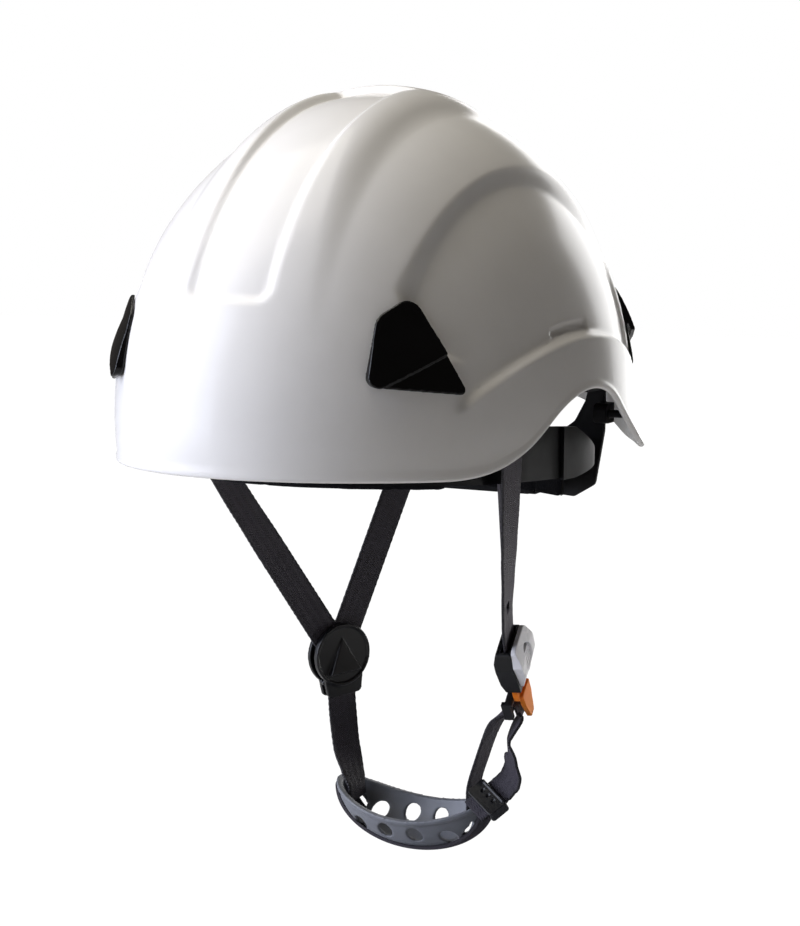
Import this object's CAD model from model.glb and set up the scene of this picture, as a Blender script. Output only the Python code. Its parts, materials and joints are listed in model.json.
import bpy
import json
import math
import numpy as np
from mathutils import Matrix, Vector

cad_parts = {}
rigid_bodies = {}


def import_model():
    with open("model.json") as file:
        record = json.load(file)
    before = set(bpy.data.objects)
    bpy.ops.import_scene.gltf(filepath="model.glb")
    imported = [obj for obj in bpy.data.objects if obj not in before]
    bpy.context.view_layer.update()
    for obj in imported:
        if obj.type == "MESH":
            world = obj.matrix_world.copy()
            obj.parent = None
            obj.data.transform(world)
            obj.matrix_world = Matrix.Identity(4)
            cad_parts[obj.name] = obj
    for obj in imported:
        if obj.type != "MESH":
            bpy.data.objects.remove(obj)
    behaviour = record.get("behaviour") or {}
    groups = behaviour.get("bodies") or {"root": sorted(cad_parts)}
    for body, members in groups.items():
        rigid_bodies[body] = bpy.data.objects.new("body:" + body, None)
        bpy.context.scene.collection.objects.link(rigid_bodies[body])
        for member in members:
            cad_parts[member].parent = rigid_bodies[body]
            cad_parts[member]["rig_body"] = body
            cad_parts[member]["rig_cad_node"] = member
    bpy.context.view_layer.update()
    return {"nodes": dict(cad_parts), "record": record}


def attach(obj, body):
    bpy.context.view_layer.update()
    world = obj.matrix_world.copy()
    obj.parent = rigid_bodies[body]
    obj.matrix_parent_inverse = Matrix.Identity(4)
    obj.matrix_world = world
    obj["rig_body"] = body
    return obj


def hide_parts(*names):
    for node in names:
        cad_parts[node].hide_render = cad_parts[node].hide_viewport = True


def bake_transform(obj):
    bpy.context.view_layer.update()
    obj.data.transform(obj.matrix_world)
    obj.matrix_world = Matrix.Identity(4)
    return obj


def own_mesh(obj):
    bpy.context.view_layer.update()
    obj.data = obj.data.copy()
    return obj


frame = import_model()
nodes = frame["nodes"]
MM = 0.001


# ----------------------------------------------------------------------------------------------
# Finishes
# ----------------------------------------------------------------------------------------------

TONE_SPAN = (0.35, 0.65)            # part of a noise over which the darker tone turns lighter
WEFT_PITCH, WARP_PITCH = 0.0011, 0.0009
WEFT_SLANT = 0.002                  # width of one herringbone run
WEB_EDGE = (0.0066, 0.0076)         # the bound edge, from the middle of the strap
KNIT_LOOP = 0.0014
MIX_COLOURS, MIX_RESULT = (6, 7), 2  # sockets of a Mix node that mixes colours


def linear(code):
    """sRGB hex colour as linear values."""
    parts = [int(code[i:i + 2], 16) / 255 for i in (1, 3, 5)]
    return [p / 12.92 if p <= 0.04045 else ((p + 0.055) / 1.055) ** 2.4 for p in parts] + [1.0]


def put(tree, kind, settings=None, inputs=None, **named):
    """Adds a node and sets its properties. An input takes a value or another node's output."""
    node = tree.nodes.new(kind)
    for key, value in (settings or {}).items():
        setattr(node, key, value)
    wanted = dict(inputs or {})
    wanted.update((key.replace("_", " "), value) for key, value in named.items())
    for key, value in wanted.items():
        if isinstance(value, bpy.types.NodeSocket):
            tree.links.new(value, node.inputs[key])
        else:
            node.inputs[key].default_value = value
    return node


def worked(tree, operation, *values):
    """Output of a math node."""
    return put(tree, "ShaderNodeMath", {"operation": operation}, dict(enumerate(values))).outputs[0]


def ranged(tree, value, low, high, start=0.0, end=1.0):
    """Output that runs from low to high as value runs from start to end."""
    node = put(tree, "ShaderNodeMapRange", Value=value, From_Min=start, From_Max=end,
               To_Min=low, To_Max=high)
    return node.outputs["Result"]


def colour_mix(tree, factor, *colours):
    inputs = {"Factor": factor, **dict(zip(MIX_COLOURS, colours))}
    return put(tree, "ShaderNodeMix", {"data_type": "RGBA"}, inputs).outputs[MIX_RESULT]


def start_finish(name):
    made = bpy.data.materials.new(name)
    made.use_nodes = True
    tree = made.node_tree
    for node in list(tree.nodes):
        if node.type != "OUTPUT_MATERIAL":
            tree.nodes.remove(node)
    return made, tree


def object_coords(tree):
    return put(tree, "ShaderNodeTexCoord").outputs["Object"]


def end_finish(tree, shader):
    out = next(n for n in tree.nodes if n.type == "OUTPUT_MATERIAL")
    tree.links.new(shader.outputs[0], out.inputs["Surface"])


def mottled(tree, coords, dark, light, scale):
    """Slow drift between two close tones, as in any moulded or dyed piece."""
    noise = put(tree, "ShaderNodeTexNoise", Vector=coords, Scale=scale, Detail=3.0, Roughness=0.55)
    ramp = put(tree, "ShaderNodeValToRGB", Fac=noise.outputs["Fac"])
    for element, position, colour in zip(ramp.color_ramp.elements, TONE_SPAN, (dark, light)):
        element.position = position
        element.color = linear(colour)
    return ramp.outputs["Color"]


def moulded(name, dark, light, rough, grain_mm, bump, coat=0.0, spread=0.06, specular=0.5):
    """Injection-moulded plastic: drifting tone, uneven gloss and a fine spark-eroded grain."""
    made, tree = start_finish(name)
    coords = object_coords(tree)
    smear = put(tree, "ShaderNodeTexNoise", Vector=coords, Scale=90.0, Detail=2.0)
    gloss = ranged(tree, smear.outputs["Fac"], max(0.02, rough - spread), rough + spread)
    grain = put(tree, "ShaderNodeTexNoise", Vector=coords, Scale=1.0 / (grain_mm * MM), Detail=2.0)
    relief = put(tree, "ShaderNodeBump", Height=grain.outputs["Fac"], Strength=bump,
                 Distance=0.0002)
    end_finish(tree, put(
        tree, "ShaderNodeBsdfPrincipled", Base_Color=mottled(tree, coords, dark, light, 38.0),
        Roughness=gloss, Normal=relief.outputs["Normal"], Coat_Weight=coat, Coat_Roughness=0.08,
        Specular_IOR_Level=specular))
    return made


def woven_webbing(name, dark, light):
    """Polyester webbing: rows of weft, a herringbone ground and bound edges. The pattern follows
    the strap's own UV map, which is in metres."""
    made, tree = start_finish(name)
    uv = put(tree, "ShaderNodeUVMap").outputs["UV"]
    split = put(tree, "ShaderNodeSeparateXYZ", Vector=uv)
    across = worked(tree, "ABSOLUTE", split.outputs["X"])
    slant = worked(tree, "PINGPONG", across, WEFT_SLANT)
    along = worked(tree, "ADD", split.outputs["Y"], slant)
    weft = worked(tree, "SINE", worked(tree, "MULTIPLY", along, 2 * math.pi / WEFT_PITCH))
    warp_turn = worked(tree, "MULTIPLY", split.outputs["X"], 2 * math.pi / WARP_PITCH)
    height = worked(tree, "MULTIPLY_ADD", worked(tree, "SINE", warp_turn), 0.45, weft)
    relief = put(tree, "ShaderNodeBump", Height=height, Strength=0.55, Distance=0.00025)
    ground = colour_mix(tree, ranged(tree, weft, 0.25, 1.0, -1.0), linear(dark), linear(light))
    edged = colour_mix(tree, ranged(tree, across, 0.0, 1.0, *WEB_EDGE), ground, linear(dark))
    end_finish(tree, put(
        tree, "ShaderNodeBsdfPrincipled", Base_Color=edged, Normal=relief.outputs["Normal"],
        Roughness=0.62, Sheen_Weight=0.22, Sheen_Roughness=0.45, Sheen_Tint=linear("#b9b0c2")))
    return made


def knitted(name, dark, light):
    """Brushed knit over foam: fine round loops and a soft nap."""
    made, tree = start_finish(name)
    coords = object_coords(tree)
    loops = put(tree, "ShaderNodeTexVoronoi", Vector=coords, Scale=1 / KNIT_LOOP)
    relief = put(tree, "ShaderNodeBump", {"invert": True}, Height=loops.outputs["Distance"],
                 Strength=0.5, Distance=0.0004)
    end_finish(tree, put(
        tree, "ShaderNodeBsdfPrincipled", Base_Color=mottled(tree, coords, dark, light, 60.0),
        Normal=relief.outputs["Normal"], Roughness=0.88, Specular_IOR_Level=0.12))
    return made


def plated_steel(name):
    """Zinc-plated spring steel: bright, with fine rolling lines."""
    made, tree = start_finish(name)
    coords = object_coords(tree)
    stretched = put(tree, "ShaderNodeMapping", Vector=coords, Scale=(40.0, 900.0, 900.0))
    lines = put(tree, "ShaderNodeTexNoise", Vector=stretched.outputs["Vector"], Scale=3.0,
                Detail=2.0)
    end_finish(tree, put(
        tree, "ShaderNodeBsdfPrincipled", Roughness=ranged(tree, lines.outputs["Fac"], 0.22, 0.42),
        Metallic=1.0, Base_Color=linear("#c9cace")))
    return made


BY_SLOT = {
    "shell_white": moulded("white gloss ABS shell", "#e9e7e4", "#ebe9e6", 0.25, 2.5, 0.01,
                           coat=0.1, spread=0.006, specular=0.22),
    "clip_black": moulded("black gloss nylon clip", "#030304", "#070708", 0.20, 0.6, 0.04,
                          specular=0.35),
    "liner_black": moulded("black satin nylon liner", "#070709", "#0c0c0f", 0.5, 0.5, 0.15,
                           specular=0.15),
    "strap_black": moulded("black acetal fitting", "#060608", "#0c0c0f", 0.32, 0.4, 0.18),
    "buckle_white": moulded("white ABS buckle cover", "#e4e3e6", "#efeef0", 0.28, 1.0, 0.03,
                            coat=0.2),
    "tab_orange": moulded("orange acetal tab", "#f27a14", "#fd9026", 0.42, 0.5, 0.12),
    "cup_grey": moulded("grey thermoplastic rubber cup", "#6f7278", "#7f8187", 0.46, 0.5, 0.22),
    "webbing": woven_webbing("black polyester webbing", "#1a181d", "#37323b"),
    "pad_black": knitted("black knit over foam", "#060608", "#0d0d10"),
    "sweat_foam": knitted("charcoal brushed sweatband", "#0d0d10", "#18181c"),
    "steel": plated_steel("zinc-plated spring steel"),
}
RECORD = frame["record"]
SLOT_OF = {part["node"]: part["material_slot"] for part in RECORD["subparts"]}
BODY_OF = {node: body for body, members in RECORD["behaviour"]["bodies"].items()
           for node in members}


def dress(obj, material):
    obj.data.materials.clear()
    obj.data.materials.append(material)


for node_name, node_object in nodes.items():
    dress(node_object, BY_SLOT[SLOT_OF[node_name]])


# ----------------------------------------------------------------------------------------------
# Small tools
# ----------------------------------------------------------------------------------------------

WELD = 0.00001                      # metres within which points are joined
EDGE_SMOOTHING = 0.5


def only(obj):
    """Makes one object active and selects nothing else."""
    bpy.ops.object.select_all(action="DESELECT")
    obj.select_set(True)
    bpy.context.view_layer.objects.active = obj


def modify(obj, kind, **settings):
    """Adds a modifier and applies it."""
    only(obj)
    bpy.ops.object.modifier_add(type=kind)
    modifier = obj.modifiers[-1]
    for key, value in settings.items():
        setattr(modifier, key, value)
    bpy.ops.object.modifier_apply(modifier=modifier.name)


def smooth_sides(obj, degrees):
    only(obj)
    bpy.ops.object.shade_smooth_by_angle(angle=math.radians(degrees))


def weld(piece, turn_out=False):
    """Joins points that lie on each other, and can turn the faces outwards."""
    only(piece)
    bpy.ops.object.mode_set(mode="EDIT")
    bpy.ops.mesh.select_all(action="SELECT")
    bpy.ops.mesh.remove_doubles(threshold=WELD)
    if turn_out:
        bpy.ops.mesh.normals_make_consistent(inside=False)
    bpy.ops.object.mode_set(mode="OBJECT")


def read_points(mesh, field="co"):
    values = np.zeros(len(mesh.vertices) * 3, dtype=np.float32)
    mesh.vertices.foreach_get(field, values)
    return values.reshape(-1, 3)


def write_points(mesh, points):
    mesh.vertices.foreach_set("co", points.astype(np.float32).ravel())
    mesh.update()


def joined(pieces):
    only(pieces[0])
    for piece in pieces[1:]:
        piece.select_set(True)
    bpy.ops.object.join()
    return bpy.context.view_layer.objects.active


def settle(obj, name, node_name, slot_name, rides=True):
    """Names a finished piece, and gives it its finish, its body and the node it stands for."""
    obj.name = name
    obj.data.name = name
    dress(obj, BY_SLOT[slot_name])
    if rides:
        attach(obj, BODY_OF[node_name])
    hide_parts(node_name)


def softened(node_name, voxel, passes, name=None, change=None):
    """Copy of a CAD node with its edges rounded as a mould rounds them. change(piece) may add
    to the copy or move its points before it is rounded."""
    only(nodes[node_name])
    bpy.ops.object.duplicate()
    piece = bpy.context.view_layer.objects.active
    piece.parent = None
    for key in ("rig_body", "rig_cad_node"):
        if key in piece:
            del piece[key]
    weld(piece)
    if change:
        piece = change(piece)
    modify(piece, "REMESH", mode="VOXEL", voxel_size=voxel * MM)
    if passes:
        modify(piece, "SMOOTH", factor=EDGE_SMOOTHING, iterations=passes)
    only(piece)
    bpy.ops.object.shade_smooth()
    settle(piece, name or node_name + "_piece", node_name, SLOT_OF[node_name])
    return piece


def grid_piece(points, uv=None):
    """A plane whose rows and columns of points lie at points, in millimetres, with its UV map in
    metres where uv gives one."""
    rows, columns = points.shape[:2]
    bpy.ops.object.select_all(action="DESELECT")
    bpy.ops.mesh.primitive_grid_add(x_subdivisions=columns - 1, y_subdivisions=rows - 1, size=1.0)
    piece = bpy.context.view_layer.objects.active
    mesh = piece.data
    if uv is not None:
        index = np.zeros(len(mesh.loops), dtype=np.int32)
        mesh.loops.foreach_get("vertex_index", index)
        layer = mesh.uv_layers.active
        layer.data.foreach_set("uv", (uv.reshape(-1, 2)[index] * MM).astype(np.float32).ravel())
    write_points(mesh, points.reshape(-1, 3) * MM)
    return piece


def unit(vectors):
    return vectors / np.linalg.norm(vectors, axis=-1, keepdims=True)


def ease(value):
    value = np.clip(value, 0, 1)
    return value * value * (3 - 2 * value)


# ----------------------------------------------------------------------------------------------
# Shell. One skin runs from the crown down to the rim, round the lip and back up inside.
# Lengths are in millimetres; x is across, y to the rear and z up, from the middle of the head.
# ----------------------------------------------------------------------------------------------

HALF_WIDTH, HALF_LENGTH, CROWN, WALL = 108.0, 150.6, 136.4, 2.6
LEAN = math.radians(7.2)
FLARE, FLARE_DEPTH = 0.10, 46.0
REAR_FLARE_LOSS = 0.75              # share of the flare that is gone at the rear
RIM_POINTS = ((-200, -15.5), (-75.6, -21.5), (-15.0, 22.7), (64.5, -25.0), (108.0, -24.0),
              (152.0, -4.0), (200, -4.0))
RIM_ROUNDS = (70.0, 60.0, 60.0, 40.0, 40.0)
RIDGE_RAISE, RIDGE_HALF_LENGTH = 5.6, 147.3
FLANK_CROWN, FLANK_HALF_LENGTH, FLANK_HALF_WIDTH = 148.6, 165.0, 72.0
RIDGE_FROM, RIDGE_OVER = 32, 16     # the ridge fades in over this height
RIDGE_BLEND, DOME_BLEND = 3.0, 2.4  # reach of the rounding where two surfaces meet
CHANNEL_HALF, CHANNEL_LOW, CHANNEL_BACK, CHANNEL_ROUND = 19.5, 50.0, 8.0, 6.0
CHANNEL_DEPTH = (3.0, -1.5)         # in from the dome, at its sides and at its crown
CHANNEL_WALL_FROM, CHANNEL_WALL_OVER, CHANNEL_BACK_SLOPE = 1.2, 4.2, 0.9
PANEL_DEPTH, PANEL_FRONT, PANEL_REAR = 4.0, 98.0, 87.0
PANEL_FRONT_OVER, PANEL_REAR_OVER = 9.0, 6.0            # run of the wall at either end
PANEL_BLEND, PANEL_END_BLEND = 0.25, 0.3
PANEL_STRAIGHT = 0.65               # share of the panel's wall that is straight, not eased
PANEL_INNERMOST = 30                # no panel nearer to the middle than this
UNDER_CLIP, UNDER_CLIP_STEEPER = 10.0, 4.0              # above the clip's foot the panel runs on
CLIP_FOOT, CLIP_FOOT_OVER = 24.0, 12.0                  # to the front, with a shorter wall
ARCH_AT, ARCH_RADIUS = (-3.0, -29.0), 134.0             # arcs in the side view, as y and z
INNER_ARCH_AT, INNER_ARCH_RADIUS = (-12.0, -9.7), 109.0
LEDGE_AT, LEDGE_RADIUS, LEDGE_WIDTH = (-8.0, -129.5), 165.0, 3.6
SLOT_AT, SLOT_HALF, SLOT_DEPTH, SLOT_INNERMOST = -20.5, 17.5, 1.5, 60
SLOT_LOW, SLOT_HIGH = 0.2, 5.2      # above the ledge
RIM_LIP, RIM_LIP_HEIGHT, RIM_LIP_OVER = 0.55, 2.6, 1.6
LIP_DROP = 0.75                     # of half the wall, where the lip goes round
INSIDE_FRONT, INSIDE_REAR = 98.6, 86.6                  # ends of the panel's inside
INSIDE_ARCH_OVER, INSIDE_LEDGE_OVER, INSIDE_END_OVER, INSIDE_CHANNEL_OVER = 6, 3, 4, 3
SHELL_COLUMNS, OUTER_ROWS, LIP_ROWS, INNER_ROWS = 480, 158, 5, 26


def soft_min(a, b, reach):
    share = np.clip(0.5 + 0.5 * (b - a) / reach, 0, 1)
    return b * (1 - share) + a * share - reach * share * (1 - share)


def soft_max(a, b, reach):
    return -soft_min(-a, -b, reach)


def rounded_path(points, rounds):
    """Straight runs with an arc at each corner, as a dense list of points."""
    path = [np.array(points[0], float)]
    for before, corner, after, radius in zip(points, points[1:], points[2:], rounds):
        before, corner, after = (np.array(p, float) for p in (before, corner, after))
        back, on = unit(before - corner), unit(after - corner)
        half = math.acos(np.clip(back @ on, -1, 1)) / 2
        length = radius / math.tan(half)
        middle = corner + unit(back + on) * radius / math.sin(half)
        start, end = corner + back * length, corner + on * length
        first = math.atan2(*(start - middle)[::-1])
        turn = math.atan2(*(end - middle)[::-1]) - first
        turn = (turn + math.pi) % (2 * math.pi) - math.pi
        for share in np.linspace(0, 1, 30):
            angle = first + turn * share
            path.append(middle + radius * np.array([math.cos(angle), math.sin(angle)]))
    path.append(np.array(points[-1], float))
    return np.array(path)


RIM = rounded_path(RIM_POINTS, RIM_ROUNDS)


def rim_height(y):
    return np.interp(y, RIM[:, 0], RIM[:, 1])


def dome_reach(ray, inset=0.0, crown_inset=None, half_length=HALF_LENGTH, skirt=True,
               half_width=HALF_WIDTH):
    """Distance along each ray from the origin to the leaning dome, or to its flared skirt."""
    x = ray[..., 0]
    y = ray[..., 1] * math.cos(LEAN) + ray[..., 2] * math.sin(LEAN)
    z = ray[..., 2] * math.cos(LEAN) - ray[..., 1] * math.sin(LEAN)
    width, length = half_width - inset, half_length - inset
    crown = CROWN - (inset if crown_inset is None else crown_inset)
    flat = np.sqrt((x / width) ** 2 + (y / length) ** 2)
    upper = 1 / np.sqrt(flat ** 2 + (z / crown) ** 2)
    if not skirt:
        return upper
    rearward = y / np.sqrt(x ** 2 + y ** 2 + 1e-9)
    kept = 1 - REAR_FLARE_LOSS * ease((rearward - 0.35) / 0.5)
    flare = FLARE * z ** 2 / FLARE_DEPTH ** 2 * kept
    square = np.sqrt(np.maximum(flat ** 2 - 4 * flare, 0))
    lower = 2 / (flat + square)
    return np.where(z > 0, upper, lower)


def from_centre(y, z, centre):
    return np.hypot(y - centre[0], z - centre[1])


def points_at(ray, reach):
    return (ray[..., i] * reach for i in range(3))


def with_ridge(ray):
    dome = dome_reach(ray)
    ridge = dome_reach(ray, 0, -RIDGE_RAISE, RIDGE_HALF_LENGTH, skirt=False)
    flank = dome_reach(ray, 0, CROWN - FLANK_CROWN, FLANK_HALF_LENGTH, skirt=False,
                       half_width=FLANK_HALF_WIDTH)
    band = soft_min(ridge, flank, RIDGE_BLEND)
    rise = ease((ray[..., 2] * dome - RIDGE_FROM) / RIDGE_OVER)
    return dome + (soft_max(dome, band, DOME_BLEND) - dome) * rise


def with_channel(ray, outer, x, y, z):
    """Sinks the channel up the ridge: a round-cornered outline that is open at the top."""
    floor = dome_reach(ray, *CHANNEL_DEPTH, skirt=False)
    corner_x = np.abs(x) - (CHANNEL_HALF - CHANNEL_ROUND)
    corner_z = (CHANNEL_LOW + CHANNEL_ROUND) - z
    outline = np.minimum(np.maximum(corner_x, corner_z), 0)
    outline = outline + np.hypot(np.maximum(corner_x, 0), np.maximum(corner_z, 0)) - CHANNEL_ROUND
    outline = np.maximum(outline, (y + CHANNEL_BACK) * CHANNEL_BACK_SLOPE)
    inside = ease((CHANNEL_WALL_FROM - outline) / CHANNEL_WALL_OVER)
    return outer + (np.minimum(floor, outer) - outer) * inside


def over_clip(z):
    """Goes from 0 to 1 above the foot of a front clip."""
    return ease((z - CLIP_FOOT) / CLIP_FOOT_OVER)


def with_panels(ray, outer, x, y, z):
    """Cuts the side panels: a sloping wall along the arch, and a ledge over the ear."""
    arch = ARCH_RADIUS - from_centre(y, z, ARCH_AT)
    inner_arch = from_centre(y, z, INNER_ARCH_AT) - INNER_ARCH_RADIUS
    slope = arch / np.maximum(arch + np.maximum(inner_arch, 0), 0.01)
    slope = np.where(inner_arch <= 0, 1.0, slope)
    slope = np.where(arch <= 0, 0.0, slope)
    ledge = from_centre(y, z, LEDGE_AT) - LEDGE_RADIUS
    ledge = (ledge + LEDGE_WIDTH) / LEDGE_WIDTH
    above = over_clip(z)
    front = y + PANEL_FRONT + UNDER_CLIP * above
    front = front / (PANEL_FRONT_OVER - UNDER_CLIP_STEEPER * above)
    ends = soft_min(front, (PANEL_REAR - y) / PANEL_REAR_OVER, PANEL_END_BLEND)
    cut = soft_min(soft_min(slope, ledge, PANEL_BLEND), ends, PANEL_BLEND)
    cut = np.clip(cut, 0, 1)
    cut = ease(cut) * (1 - PANEL_STRAIGHT) + cut * PANEL_STRAIGHT
    panel_floor = dome_reach(ray, PANEL_DEPTH, skirt=False)
    cut = np.where(np.abs(x) > PANEL_INNERMOST, cut, 0.0)
    return outer + (np.minimum(panel_floor, outer) - outer) * cut


def slot_depth(x, y, z):
    """Pocket over the ledge, for an ear defender's blade."""
    along = np.abs(y - SLOT_AT)
    height = from_centre(y, z, LEDGE_AT) - LEDGE_RADIUS
    pocket = ease((SLOT_HALF - along) / 1.5) * ease((height - SLOT_LOW) / 1.0)
    pocket = pocket * ease((SLOT_HIGH - height) / 1.4)
    return SLOT_DEPTH * pocket * (np.abs(x) > SLOT_INNERMOST)


def shell_reach(ray):
    """Outer surface of the shell with its ridge, sunk channel, side panels and rim lip."""
    outer = with_ridge(ray)
    x, y, z = points_at(ray, outer)
    outer = with_channel(ray, outer, x, y, z)
    outer = with_panels(ray, outer, x, y, z)
    outer = outer - slot_depth(x, y, z)
    x, y, z = points_at(ray, outer)
    return outer + RIM_LIP * ease((RIM_LIP_HEIGHT - (z - rim_height(y))) / RIM_LIP_OVER)


def shell_inside(ray):
    """Inner surface of the shell, which follows the panels and the channel a wall away."""
    reach = dome_reach(ray, WALL)
    x, y, z = points_at(ray, reach)
    arch = ARCH_RADIUS + WALL - from_centre(y, z, ARCH_AT)
    ledge = from_centre(y, z, LEDGE_AT) - (LEDGE_RADIUS - WALL)
    front = y + INSIDE_FRONT + UNDER_CLIP * over_clip(z)
    ends = np.minimum(front, INSIDE_REAR - y) / INSIDE_END_OVER
    panel = np.minimum(np.minimum(arch / INSIDE_ARCH_OVER, ledge / INSIDE_LEDGE_OVER), ends)
    panel = np.clip(panel, 0, 1)
    panel = np.where(np.abs(x) > PANEL_INNERMOST, panel, 0.0)
    reach = reach + (dome_reach(ray, PANEL_DEPTH + WALL, skirt=False) - reach) * panel
    limits = (CHANNEL_HALF + WALL - np.abs(x), z - (CHANNEL_LOW - WALL), WALL - CHANNEL_BACK - y)
    channel = math.prod(ease(limit / INSIDE_CHANNEL_OVER) for limit in limits)
    depth, crown_depth = (inset + WALL for inset in CHANNEL_DEPTH)
    floor = np.minimum(dome_reach(ray, depth, crown_depth, skirt=False), reach)
    return reach + (floor - reach) * channel


def rays(turn, rise):
    flat = np.cos(rise)
    return np.stack([flat * np.cos(turn), flat * np.sin(turn), np.sin(rise)], axis=-1)


def surface(turn, rise, reach):
    ray = rays(turn, rise)
    return ray * reach(ray)[..., None]


def rim_rise(turn, reach):
    """Elevation at which the surface meets the rim line, for each direction round the head."""
    low, high = np.full_like(turn, -0.5), np.full_like(turn, 0.6)
    for _ in range(40):
        middle = (low + high) / 2
        point = surface(turn, middle, reach)
        above = point[..., 2] > rim_height(point[..., 1])
        high = np.where(above, middle, high)
        low = np.where(above, low, middle)
    return (low + high) / 2


def shell_points(columns, outer_rows):
    """Rows of points from the crown over the outside, the lip and the inside to the crown."""
    turn = np.linspace(0, 2 * math.pi, columns)
    rim_out, rim_in = rim_rise(turn, shell_reach), rim_rise(turn, shell_inside)
    top = math.pi / 2
    rows = [surface(turn, top + (rim_out - top) * share, shell_reach)
            for share in np.linspace(0, 1, outer_rows)]
    outer_edge, inner_edge = rows[-1], surface(turn, rim_in, shell_inside)
    centre = (outer_edge + inner_edge) / 2
    side = (outer_edge - inner_edge) / 2
    down = np.zeros_like(side)
    down[..., 2] = -np.linalg.norm(side, axis=-1) * LIP_DROP
    for share in np.linspace(0, 1, LIP_ROWS + 2)[1:-1]:
        angle = math.pi * share
        rows.append(centre + side * math.cos(angle) + down * math.sin(angle))
    rows += [surface(turn, rim_in + (top - rim_in) * share, shell_inside)
             for share in np.linspace(0, 1, INNER_ROWS)]
    return np.stack(rows)


def make_shell():
    fine = 1.0
    piece = grid_piece(shell_points(int(SHELL_COLUMNS * fine) + 1, int(OUTER_ROWS * fine)))
    weld(piece, turn_out=True)
    smooth_sides(piece, 60)
    settle(piece, "shell_moulding", "outer_shell", "shell_white")


make_shell()


# ----------------------------------------------------------------------------------------------
# Webbing
# ----------------------------------------------------------------------------------------------

WEB_WIDTH, WEB_THICK, WEB_CROWN, WEB_POINTS = 16.0, 1.25, 0.25, 11
WEB_EDGE_ROUND = 0.35
SELVEDGE_RIPPLE, RIPPLE_TURN = 0.12, 2.1    # millimetres, and radians for each millimetre
SIDE_STEP, CHIN_STEP = 1.5, 1.0             # millimetres between rows of a strap
FRONT_TOP, REAR_TOP = (89.5, -56.0, 15.0), (8.0, 100.0, 40.0)
LEFT_BEND, RIGHT_BEND = (84.0, -45.0, 0.0), (-87.3, -45.0, 0.0)
LEFT_TURN, RIGHT_TURN = (0.1, 0.25, 0.45), (0.3, 0.6, 0.85)     # twist of the front leg, and
TURN_AT = (0.2, 0.4, 0.6)                                       # where it has it
LEFT_OUTWARD, RIGHT_OUTWARD = (0.965, -0.26, 0), (0.965, 0.26, 0)
REAR_TILT, REAR_TURN_AT = (1.0, 0.2, 0.0), (0.12, 0.25)         # the rear leg twists near its top
SLIDER_JOIN, BUCKLE_JOIN, LAST_TURN = 2, 9, 27                  # from the foot of the legs
IN_BUCKLE = (4.5, 9.0)                                          # the strap's end in the buckle
SLIDER_AT = (-46.2, 37.8, -136.1)
SLIDER_NORMAL, SLIDER_UP = (0.88, -0.475, -0.023), (-0.017, -0.08, 0.9967)
BUCKLE_TOP = (62.0, 0.2, -104.9)
BUCKLE_ALONG, BUCKLE_OUT = (0.0, 0.53, -0.848), (0.990, 0.118, 0.074)
LEFT_NORMAL = (0.882, 0.471, -0.008)        # the rear leg's face
BAR_Y, BAR_Z, LOOP, LOOP_LEG = 43.0, -5.8, 2.8, 3.5     # the tab's bar, and the loop round it
GLIDE_AT = (46.2, 16.2, -190.9)
GLIDE_ACROSS, GLIDE_OUT = (0.808, -0.5, -0.31), (-0.097, -0.632, 0.768)
GLIDE_TAIL = (-8, -6, 9)                    # the strap's end through the tri-glide

# Runs of the chin webbing: points, each with the direction of the strap's width.
LOWER_RUN = (
    ((-46.1, 38.2, -141.1), (0.475, 0.877, 0.078)), ((-45.9, 39.0, -151.0), (0.475, 0.877, 0.078)),
    ((-45.7, 40.05, -164.5), (0.475, 0.877, 0.078)), ((-41.4, 36.1, -181.2), (0.40, 0.91, 0.05)),
    ((-35.2, 31.2, -192.5), (0.15, 0.98, 0.0)), ((-32.4, 29.9, -198.5), (0.0, 1.0, 0.0)),
    ((-31.8, 30.0, -205.5), (0.0, 1.0, 0.0)))
INNER_RUN = (
    ((47.5, 24.0, -153.0), (0.25, 0.90, 0.30)), ((42.8, 25.3, -162.0), (0.05, 0.99, 0.05)),
    ((38.0, 26.5, -174.5), (0.0, 0.99, -0.05)), ((33.2, 28.6, -188.0), (0.0, 1.0, 0.0)),
    ((32.4, 29.8, -198.0), (0.0, 1.0, 0.0)), ((31.8, 30.0, -205.5), (0.0, 1.0, 0.0)))
OUTER_RUN = (
    ((59.0, 24.7, -149.7), (-0.14, 0.84, 0.53)), ((55.5, 19.0, -161.3), (-0.38, 0.92, 0.05)),
    ((57.5, 17.0, -169.0), (-0.62, 0.77, -0.13)), ((56.9, 20.3, -176.5), (-0.74, 0.67, 0.05)),
    ((54.4, 22.3, -181.8), (-0.80, 0.56, 0.2)))

# Heights between which each strap gives as the tab is drawn out or the cup is lifted.
TAB_GIVE, CUP_GIVE, RIGHT_GIVE = (-147.5, -162.0), (-164.0, -184.0), (-155.0, -188.0)


def smooth_line(points, step):
    """Curve through the points (Catmull-Rom), sampled about every step millimetres, and the
    place of each sample counted in points."""
    points = np.array(points, float)
    padded = np.vstack([2 * points[0] - points[1], points, 2 * points[-1] - points[-2]])
    samples, shares = [], []
    for i in range(1, len(padded) - 2):
        a, b, c, d = padded[i - 1:i + 3]
        count = max(2, int(np.linalg.norm(c - b) / step))
        for t in np.arange(count) / count:
            samples.append(0.5 * (2 * b + (c - a) * t + (2 * a - 5 * b + 4 * c - d) * t ** 2
                                  + (3 * b - a - 3 * c + d) * t ** 3))
            shares.append(i - 1 + t)
    samples.append(points[-1])
    shares.append(len(points) - 1)
    return np.array(samples), np.array(shares)


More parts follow.
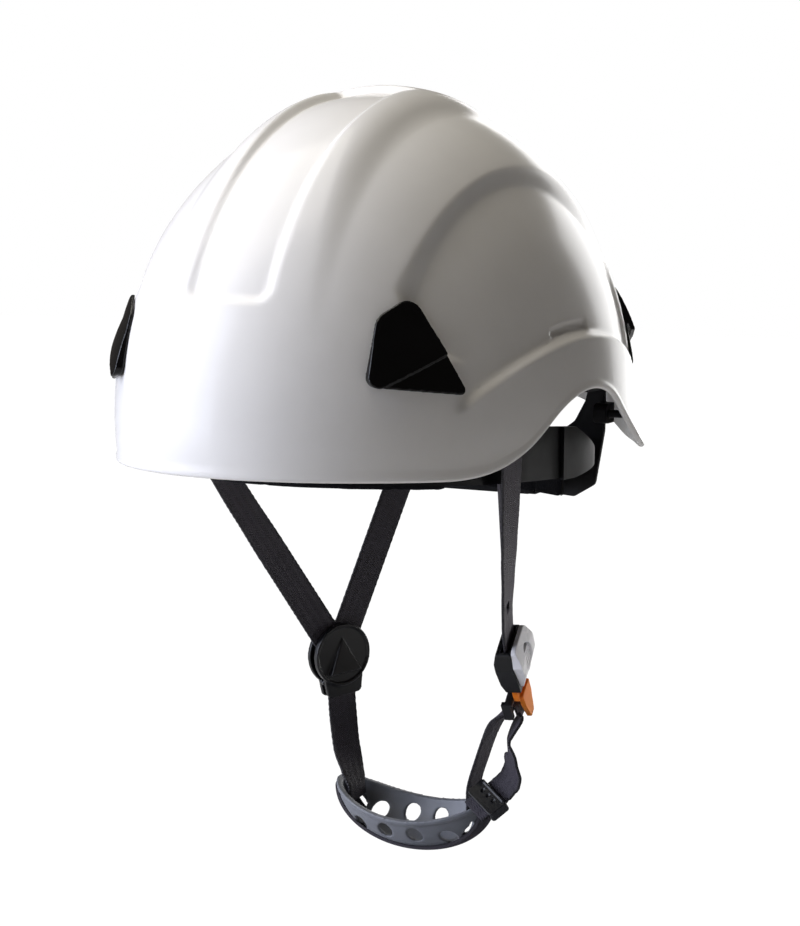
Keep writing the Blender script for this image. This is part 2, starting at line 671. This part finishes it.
def strap_sheet(stations, step):
    """Middle surface of a strap: stations are points and width directions, as in the solids."""
    line, shares = smooth_line([s[0] for s in stations], step)
    across = [np.array(stations[0][1], float)]
    for _, direction in stations[1:]:
        direction = np.array(direction, float)
        across.append(direction if direction @ across[-1] > 0 else -direction)
    across = unit(np.array(across))
    whole = np.clip(shares.astype(int), 0, len(across) - 2)
    part = ease(shares - whole)[:, None]
    across = unit(across[whole] * (1 - part) + across[whole + 1] * part)
    run = unit(np.gradient(line, axis=0))
    across = unit(across - run * np.sum(across * run, axis=1, keepdims=True))
    face = np.cross(run, across)
    steps = np.linalg.norm(np.diff(line, axis=0), axis=1)
    length = np.concatenate([[0], np.cumsum(steps)])
    place = np.linspace(-0.5, 0.5, WEB_POINTS)
    points = line[:, None] + across[:, None] * place[None, :, None] * WEB_WIDTH
    points = points + face[:, None] * (WEB_CROWN * (1 - 4 * place ** 2))[None, :, None]
    ripple = SELVEDGE_RIPPLE * np.sin(length * RIPPLE_TURN)[:, None] * (np.abs(place) > 0.45)
    points = points + across[:, None] * (ripple * np.sign(place))[..., None]
    uv = np.stack(np.broadcast_arrays(place[None, :] * WEB_WIDTH, length[:, None]), axis=-1)
    return points, uv


def webbing_piece(points, uv):
    piece = grid_piece(points, uv)
    modify(piece, "SOLIDIFY", thickness=WEB_THICK * MM, offset=0.0, use_even_offset=False)
    modify(piece, "BEVEL", width=WEB_EDGE_ROUND * MM, segments=2, limit_method="ANGLE",
           angle_limit=math.radians(50))
    smooth_sides(piece, 50)
    return piece


def toward(start, end, distance):
    start, end = np.array(start, float), np.array(end, float)
    return tuple(start + unit(end - start) * distance)


def between(start, end, share):
    return tuple(np.array(start, float) * (1 - share) + np.array(end, float) * share)


def mixed(a, b, share):
    """Direction between two width directions, which may point opposite ways."""
    b = np.array(b, float)
    return between(a, b if np.array(a, float) @ b > 0 else -b, share)


def across_for(normal, start, end):
    run = np.array(end, float) - np.array(start, float)
    return tuple(unit(np.cross(run, np.array(normal, float))))


def on_buckle(x, y, z):
    """Point of the buckle's own frame: x across, y towards the tab, z outwards."""
    along, out = unit(np.array(BUCKLE_ALONG)), unit(np.array(BUCKLE_OUT))
    width = np.cross(along, out)
    return tuple(np.array(BUCKLE_TOP) + width * x + along * y + out * z)


def front_leg(top, bend, foot, outward, goal, turns):
    """Stations of a front leg from its bracket and over its bend, turning towards goal."""
    first = across_for(outward, top, bend)
    return [(top, first), (bend, first)] + [
        (between(bend, foot, way), mixed(first, goal, turn)) for way, turn in zip(TURN_AT, turns)]


def rear_leg(top, foot, normal, join):
    rear = across_for(normal, top, foot)
    half, full = (between(top, foot, way) for way in REAR_TURN_AT)
    return [(top, REAR_TILT), (half, mixed(REAR_TILT, rear, 0.5)), (full, rear), (join, rear)]


def side_strap(name, *legs):
    piece = joined([webbing_piece(*strap_sheet(leg, SIDE_STEP)) for leg in legs])
    settle(piece, f"side_strap_{name}", f"side_webbing_{name}", "webbing")


def side_strap_left():
    """The front leg keeps its face to the front and turns close to the buckle."""
    final = across_for(BUCKLE_OUT, BUCKLE_TOP, on_buckle(0, 5, 0))
    front = front_leg(FRONT_TOP, LEFT_BEND, BUCKLE_TOP, LEFT_OUTWARD, final, LEFT_TURN)
    first = front[0][1]
    join = toward(BUCKLE_TOP, LEFT_BEND, BUCKLE_JOIN)
    front += [(toward(BUCKLE_TOP, LEFT_BEND, LAST_TURN), mixed(first, final, 0.7)),
              (join, mixed(first, final, 0.9))]
    front += [(on_buckle(0, height, 0), final) for height in IN_BUCKLE]
    side_strap("left", front, rear_leg(REAR_TOP, BUCKLE_TOP, LEFT_NORMAL, join))


def side_strap_right():
    front_top, rear_top = ((-x, y, z) for x, y, z in (FRONT_TOP, REAR_TOP))
    final = across_for(SLIDER_NORMAL, RIGHT_BEND, SLIDER_AT)
    front = front_leg(front_top, RIGHT_BEND, SLIDER_AT, RIGHT_OUTWARD, final, RIGHT_TURN)
    join = toward(SLIDER_AT, RIGHT_BEND, SLIDER_JOIN)
    front.append((join, final))
    side_strap("right", front, rear_leg(rear_top, SLIDER_AT, SLIDER_NORMAL, join))


def give(piece):
    """Lets a strap go with one body above a band of heights and with another below it."""
    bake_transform(piece)


def chin_strap_right():
    piece = webbing_piece(*strap_sheet(LOWER_RUN, SIDE_STEP))
    settle(piece, "chin_strap_right", "chin_webbing_right", "webbing", rides=False)
    give(piece)


def left_stations():
    """From the cup up to the tab's bar, round it and down through the tri-glide."""
    width = tuple(np.array(on_buckle(-1, 0, 0)) - np.array(BUCKLE_TOP))
    loop = [(on_buckle(0, BAR_Y + LOOP_LEG, BAR_Z - LOOP), width)]
    for angle in map(math.radians, range(-180, 1, 30)):
        place = on_buckle(0, BAR_Y + LOOP * math.sin(angle), BAR_Z + LOOP * math.cos(angle))
        loop.append((place, width))
    loop.append((on_buckle(0, BAR_Y + LOOP_LEG, BAR_Z + LOOP), width))
    run = unit(np.cross(np.array(GLIDE_ACROSS), np.array(GLIDE_OUT)))
    run = -run if run[0] > 0 else run
    across = tuple(-value for value in GLIDE_ACROSS)
    tail = [(tuple(np.array(GLIDE_AT) + run * distance), across) for distance in GLIDE_TAIL]
    return [*reversed(INNER_RUN), *loop, *OUTER_RUN, *tail]


def chin_strap_left():
    """One strap in three lengths, cut where it is still, since each gives across one joint."""
    points, uv = strap_sheet(left_stations(), CHIN_STEP)
    high = np.nonzero(points[..., 2].max(axis=1) > (TAB_GIVE[1] + CUP_GIVE[0]) / 2)[0]
    first, last = high.min(), high.max()
    runs = (("chin_strap_left_loop", slice(first, last + 1), "buckle_tab", "helmet", TAB_GIVE),
            ("chin_strap_left_inner", slice(0, first + 1), "helmet", "cup", CUP_GIVE),
            ("chin_strap_left_bow", slice(last, None), "helmet", "cup", CUP_GIVE))
    for name, rows, upper, lower, heights in runs:
        piece = webbing_piece(points[rows], uv[rows])
        settle(piece, name, "chin_webbing_left", "webbing", rides=False)
        give(piece)


side_strap_left()
side_strap_right()
chin_strap_right()
chin_strap_left()


# ----------------------------------------------------------------------------------------------
# Moulded pieces with rounded edges, and the pads
# ----------------------------------------------------------------------------------------------

SLIDER_SHRINK, SLIDER_HOLD = 0.88, 14.0     # share kept, and the height that stays in place
BUCKLE_SHRINK, BUCKLE_HOLD = 0.76, 17.0
PAD_VOXEL, PAD_SMOOTHING = 0.9, 6
PAD_PITCH, PAD_GROOVE = 18.0, 1.3
BAND_PITCH, BAND_GROOVE, BAND_SHARE = 30.0, 0.8, 0.6    # in degrees; share of the depth
TRIANGLE = ((0.0, 11.5), (-10.0, -8.0), (10.0, -8.0))
TRIANGLE_BASE, TRIANGLE_TOP, TRIANGLE_TAPER = 2.0, (4.0, 6.4, 6.4), 0.88


def quilted(node_name, depth, groove):
    """Pad with a rounded edge. groove gives 1 on a sewn channel and 0 between channels."""
    piece = softened(node_name, PAD_VOXEL * coarse, PAD_SMOOTHING, node_name + "_padded")
    mesh = piece.data
    points, normals = read_points(mesh), read_points(mesh, "normal")
    sunk = groove(points / MM) * depth * MM
    write_points(mesh, points - normals * sunk[:, None])


def pad_channels(points):
    """Upright sewn channels across the pad."""
    across = np.abs((points[:, 0] + PAD_PITCH / 2) % PAD_PITCH - PAD_PITCH / 2)
    return np.exp(-(across / PAD_GROOVE) ** 2)


def band_hollows(points):
    """Soft hollows across the band at equal turns round the head."""
    turn = np.degrees(np.arctan2(points[:, 1], points[:, 0]))
    hollow = np.abs((turn + BAND_PITCH / 2) % BAND_PITCH - BAND_PITCH / 2)
    return BAND_SHARE * np.exp(-(hollow / BAND_GROOVE) ** 2)


def drawn_in(piece, hold, axes, kept):
    """Shrinks a piece along each axis, about the point hold."""
    points = read_points(piece.data)
    offset = points - np.array(hold) * MM
    for axis in axes:
        points = points + (offset @ axis)[:, None] * axis[None, :] * (kept - 1)
    write_points(piece.data, points)
    return piece


def slider_axes():
    normal, up = unit(np.array(SLIDER_NORMAL)), np.array(SLIDER_UP)
    across = unit(np.cross(up, normal))
    return across, np.cross(normal, across), normal


def slider_point(x, y, z):
    across, up, normal = slider_axes()
    return tuple(np.array(SLIDER_AT) + across * x + up * y + normal * z)


def slimmer(piece):
    """Draws a slider plate in towards a point near its top."""
    return drawn_in(piece, slider_point(0, SLIDER_HOLD, 0), slider_axes()[:2], SLIDER_SHRINK)


def shorter(piece):
    """Draws a piece of the buckle in along its length, towards its middle."""
    along = unit(np.array(BUCKLE_ALONG))
    return drawn_in(piece, on_buckle(0, BUCKLE_HOLD, 0), (along,), BUCKLE_SHRINK)


def raised_triangle(piece):
    """Slimmer plate with the raised triangle on its face, highest along its lower edge."""
    points = [slider_point(x, y, TRIANGLE_BASE) for x, y in TRIANGLE]
    points += [slider_point(x * TRIANGLE_TAPER, y * TRIANGLE_TAPER, z)
               for (x, y), z in zip(TRIANGLE, TRIANGLE_TOP)]
    faces = [(2, 1, 0), (3, 4, 5), (0, 1, 4, 3), (1, 2, 5, 4), (2, 0, 3, 5)]
    shape = bpy.data.meshes.new("triangle")
    shape.from_pydata([tuple(np.array(p) * MM) for p in points], [], faces)
    wedge = bpy.data.objects.new("triangle", shape)
    bpy.context.scene.collection.objects.link(wedge)
    return joined([slimmer(piece), wedge])


coarse = 1.0
# Node, voxel in millimetres, rounds of smoothing, and what is changed before them.
MOULDED = (
    ("lamp_clip_front_left", 0.55, 2, None), ("lamp_clip_front_right", 0.55, 2, None),
    ("lamp_clip_rear_left", 0.55, 2, None), ("lamp_clip_rear_right", 0.55, 2, None),
    ("front_strap_brackets", 0.5, 2, None), ("rear_strap_bracket", 0.5, 2, None),
    ("slider_front", 0.35, 2, raised_triangle), ("slider_back", 0.35, 2, slimmer),
    ("buckle_body", 0.3, 2, shorter), ("buckle_cover", 0.25, 2, shorter),
    ("release_button", 0.2, 1, shorter), ("button_spring", 0.12, 0, shorter),
    ("release_tab", 0.25, 2, None), ("tab_bar", 0.25, 2, None), ("tri_glide", 0.25, 2, None),
    ("chin_cup", 0.6, 2, None), ("nape_support", 0.45, 3, None), ("ratchet_cover", 0.45, 2, None))
pieces = {node_name: softened(node_name, voxel * coarse, passes, change=change)
          for node_name, voxel, passes, change in MOULDED}
spring = pieces["button_spring"]
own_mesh(spring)
quilted("nape_pad", 0.9, pad_channels)
quilted("sweatband", 0.4, band_hollows)


# ----------------------------------------------------------------------------------------------
# Studio
# ----------------------------------------------------------------------------------------------

# Name, place, target, size, watts, colour, spread in degrees.
LAMPS = (
    ("key", (-1.3, -1.08, 0.42), (0, 0, 0), (1.5, 1.6), 45, "#e6ecff", 180),
    ("top", (-0.55, -0.25, 1.4), (0, 0, 0), (1.3, 1.3), 20, "#fffaee", 180),
    ("rear", (-0.02, 1.8, 0.1), (0, 0, -0.05), (1.2, 1.2), 14, "#ffffff", 180),
    ("kicker", (0.52, 0.30, -0.22), (0.065, 0.01, -0.125), (0.1, 0.1), 0.034, "#ffffff", 20))
AMBIENT, AMBIENT_STRENGTH = "#c9c0b8", 0.10
FLOOR_SIZE, FLOOR_HEIGHT = 8.0, -0.2265
FLOOR_GLOW, FLOOR_GLOW_SHARE = 1.06, 0.97   # the floor shines white for the camera alone
CAMERA_AT, CAMERA_TURN, CAMERA_DIP = (0.3847, -0.7373, 0.0804), 27.1, 7.6
LENS, SENSOR = 69.98, 36.0


def placed(name, data):
    holder = bpy.data.objects.new(name, data)
    bpy.context.scene.collection.objects.link(holder)
    return holder


def area_lamp(name, place, target, size, watts, colour, spread):
    lamp = bpy.data.lights.new(name, "AREA")
    lamp.shape = "RECTANGLE"
    lamp.size, lamp.size_y = size
    lamp.energy = watts
    lamp.spread = math.radians(spread)
    lamp.color = linear(colour)[:3]
    holder = placed(name, lamp)
    holder.location = place
    aim = Vector(target) - Vector(place)
    holder.rotation_euler = aim.to_track_quat("-Z", "Y").to_euler()


def make_world():
    """White where the camera looks past the object, and a dim fill for everything else."""
    world = bpy.data.worlds.new("studio")
    bpy.context.scene.world = world
    world.use_nodes = True
    tree = world.node_tree
    tree.nodes.clear()
    path = put(tree, "ShaderNodeLightPath")
    seen = put(tree, "ShaderNodeMath", {"operation": "ADD", "use_clamp": True},
               {0: path.outputs["Is Camera Ray"], 1: path.outputs["Is Transmission Ray"]})
    dim = put(tree, "ShaderNodeBackground", Color=linear(AMBIENT), Strength=AMBIENT_STRENGTH)
    white = put(tree, "ShaderNodeBackground", Color=(1, 1, 1, 1), Strength=1.0)
    both = put(tree, "ShaderNodeMixShader", None,
               {0: seen.outputs[0], 1: dim.outputs[0], 2: white.outputs[0]})
    put(tree, "ShaderNodeOutputWorld", Surface=both.outputs[0])


def make_floor():
    bpy.ops.object.select_all(action="DESELECT")
    bpy.ops.mesh.primitive_plane_add(size=FLOOR_SIZE, location=(0, 0, FLOOR_HEIGHT))
    floor = bpy.context.view_layer.objects.active
    floor.name = "floor"
    made, tree = start_finish("white paper sweep")
    tone = mottled(tree, object_coords(tree), "#cfcfcf", "#d2d2d2", 3.0)
    diffuse = put(tree, "ShaderNodeBsdfDiffuse", Color=tone)
    glow = put(tree, "ShaderNodeEmission", Strength=FLOOR_GLOW)
    path = put(tree, "ShaderNodeLightPath")
    share = worked(tree, "MULTIPLY", path.outputs["Is Camera Ray"], FLOOR_GLOW_SHARE)
    end_finish(tree, put(tree, "ShaderNodeMixShader", None,
                         {0: share, 1: diffuse.outputs[0], 2: glow.outputs[0]}))
    floor.data.materials.append(made)


def make_camera():
    camera = bpy.data.cameras.new("camera")
    camera.lens = LENS
    camera.sensor_width = SENSOR
    holder = placed("camera", camera)
    turn, dip = math.radians(CAMERA_TURN), math.radians(CAMERA_DIP)
    ahead = Vector((-math.sin(turn) * math.cos(dip), math.cos(turn) * math.cos(dip),
                    -math.sin(dip)))
    side = Vector((math.cos(turn), math.sin(turn), 0))
    turned = Matrix((side, side.cross(ahead), -ahead)).transposed().to_4x4()
    holder.matrix_world = Matrix.Translation(CAMERA_AT) @ turned
    bpy.context.scene.camera = holder


bpy.context.scene.view_settings.view_transform = "Standard"
for lamp in LAMPS:
    area_lamp(*lamp)
make_world()
make_floor()
make_camera()
